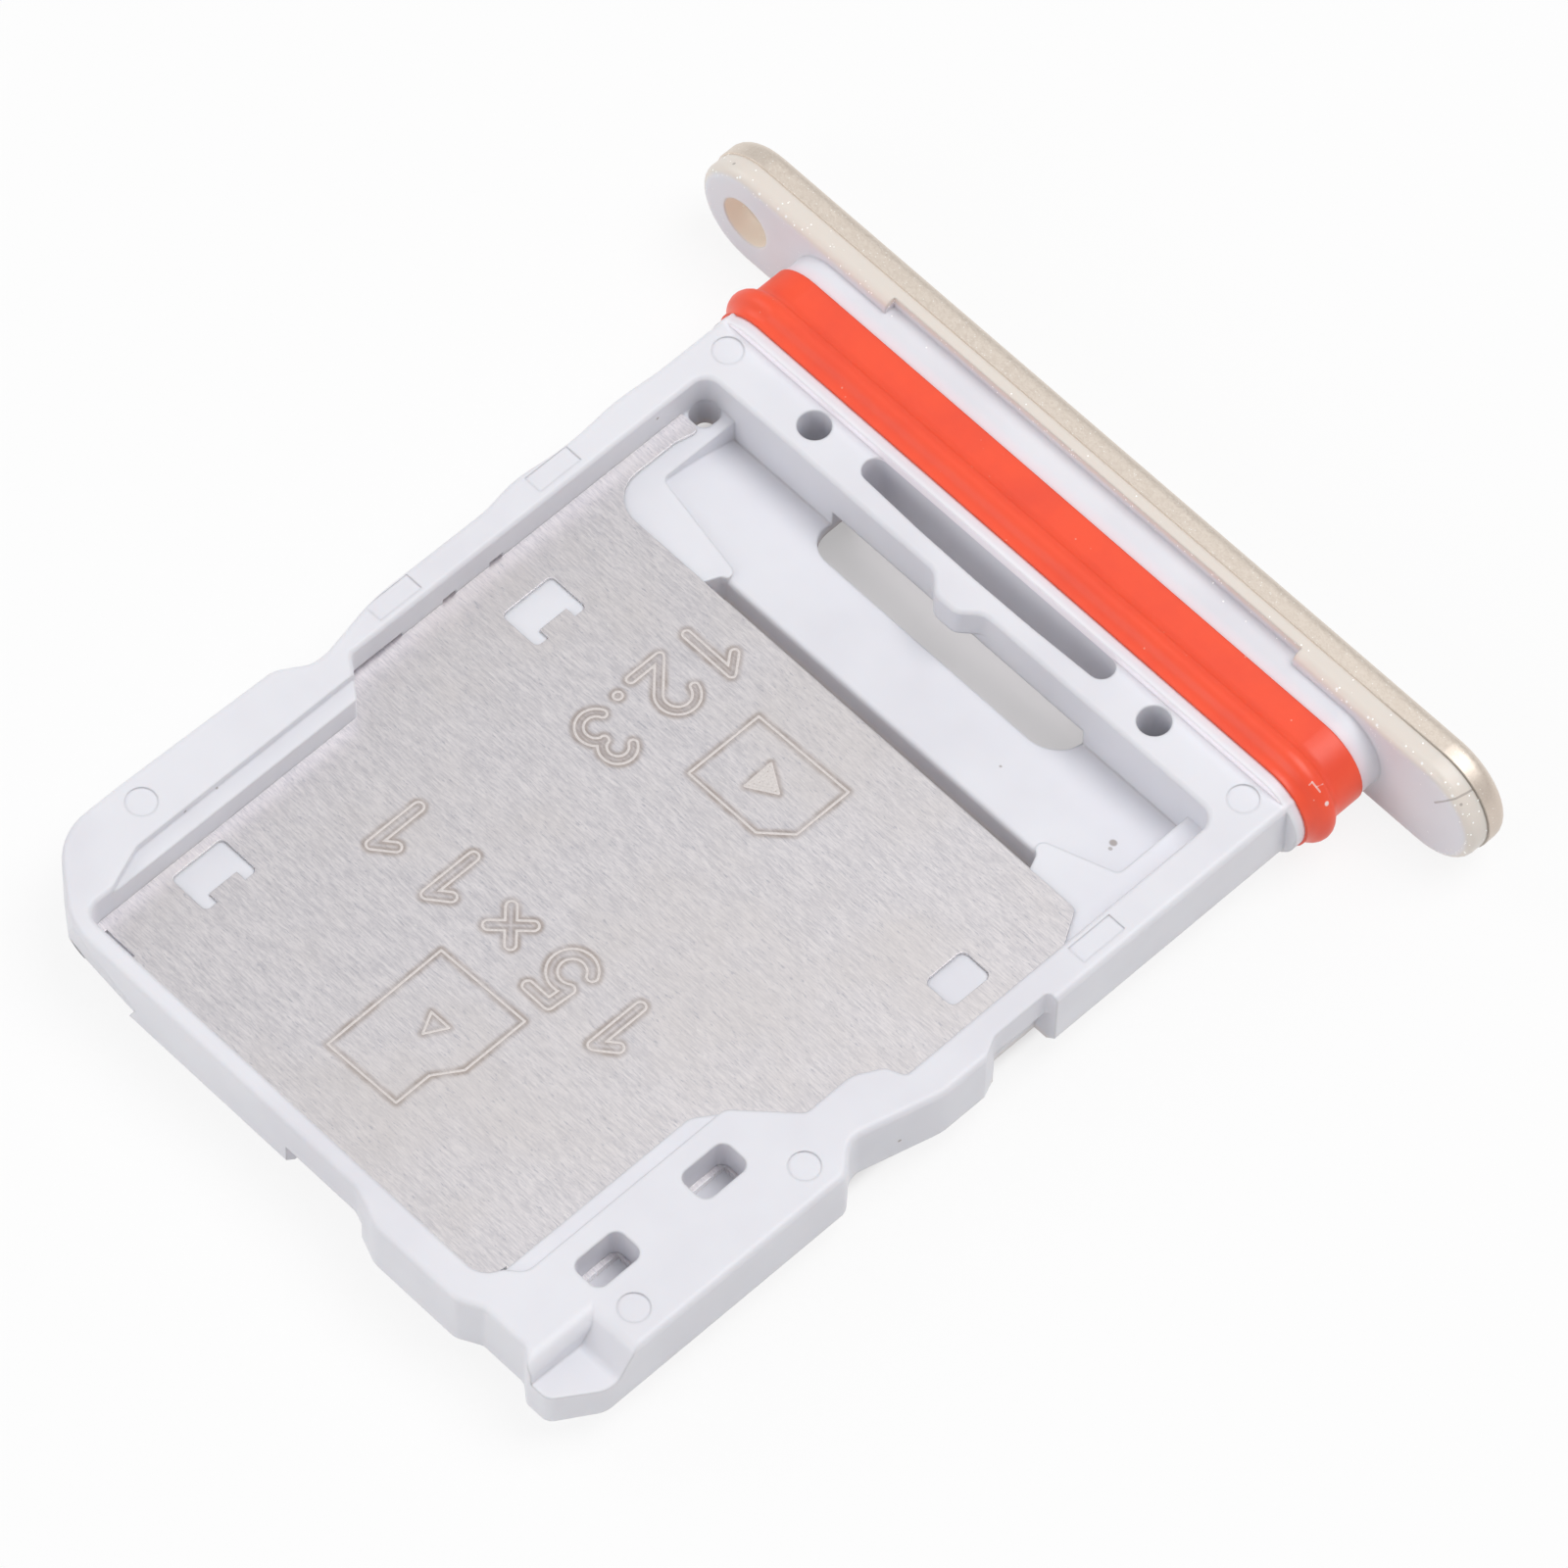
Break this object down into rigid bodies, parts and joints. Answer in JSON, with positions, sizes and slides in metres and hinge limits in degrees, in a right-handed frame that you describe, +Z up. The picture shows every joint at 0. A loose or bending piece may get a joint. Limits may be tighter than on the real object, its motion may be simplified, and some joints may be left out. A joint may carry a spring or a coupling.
{
  "type": "sim card tray",
  "caption": "Flat card tray for a phone: white moulded carrier with a stepped card pocket over a steel plate, an orange seal ring and a painted end cap with an eject hole.",
  "frame": {"origin": "middle of the footprint, level with the underside of the end cap", "axes": "+X along the cap from the eject hole to the far end, +Y the way the tray is pulled out, +Z up out of the card pocket"},
  "size_m": [0.0188, 0.0198, 0.0024],
  "materials": {
    "white_plastic": "satin moulded",
    "steel": "brushed sheet",
    "orange_silicone": "smooth silicone",
    "champagne_paint": "satin metallic paint"
  },
  "bodies": {
    "root": {"tray_frame": "white_plastic", "steel_plate": "steel", "seal_ring": "orange_silicone", "end_cap": "champagne_paint"}
  },
  "joints": []
}
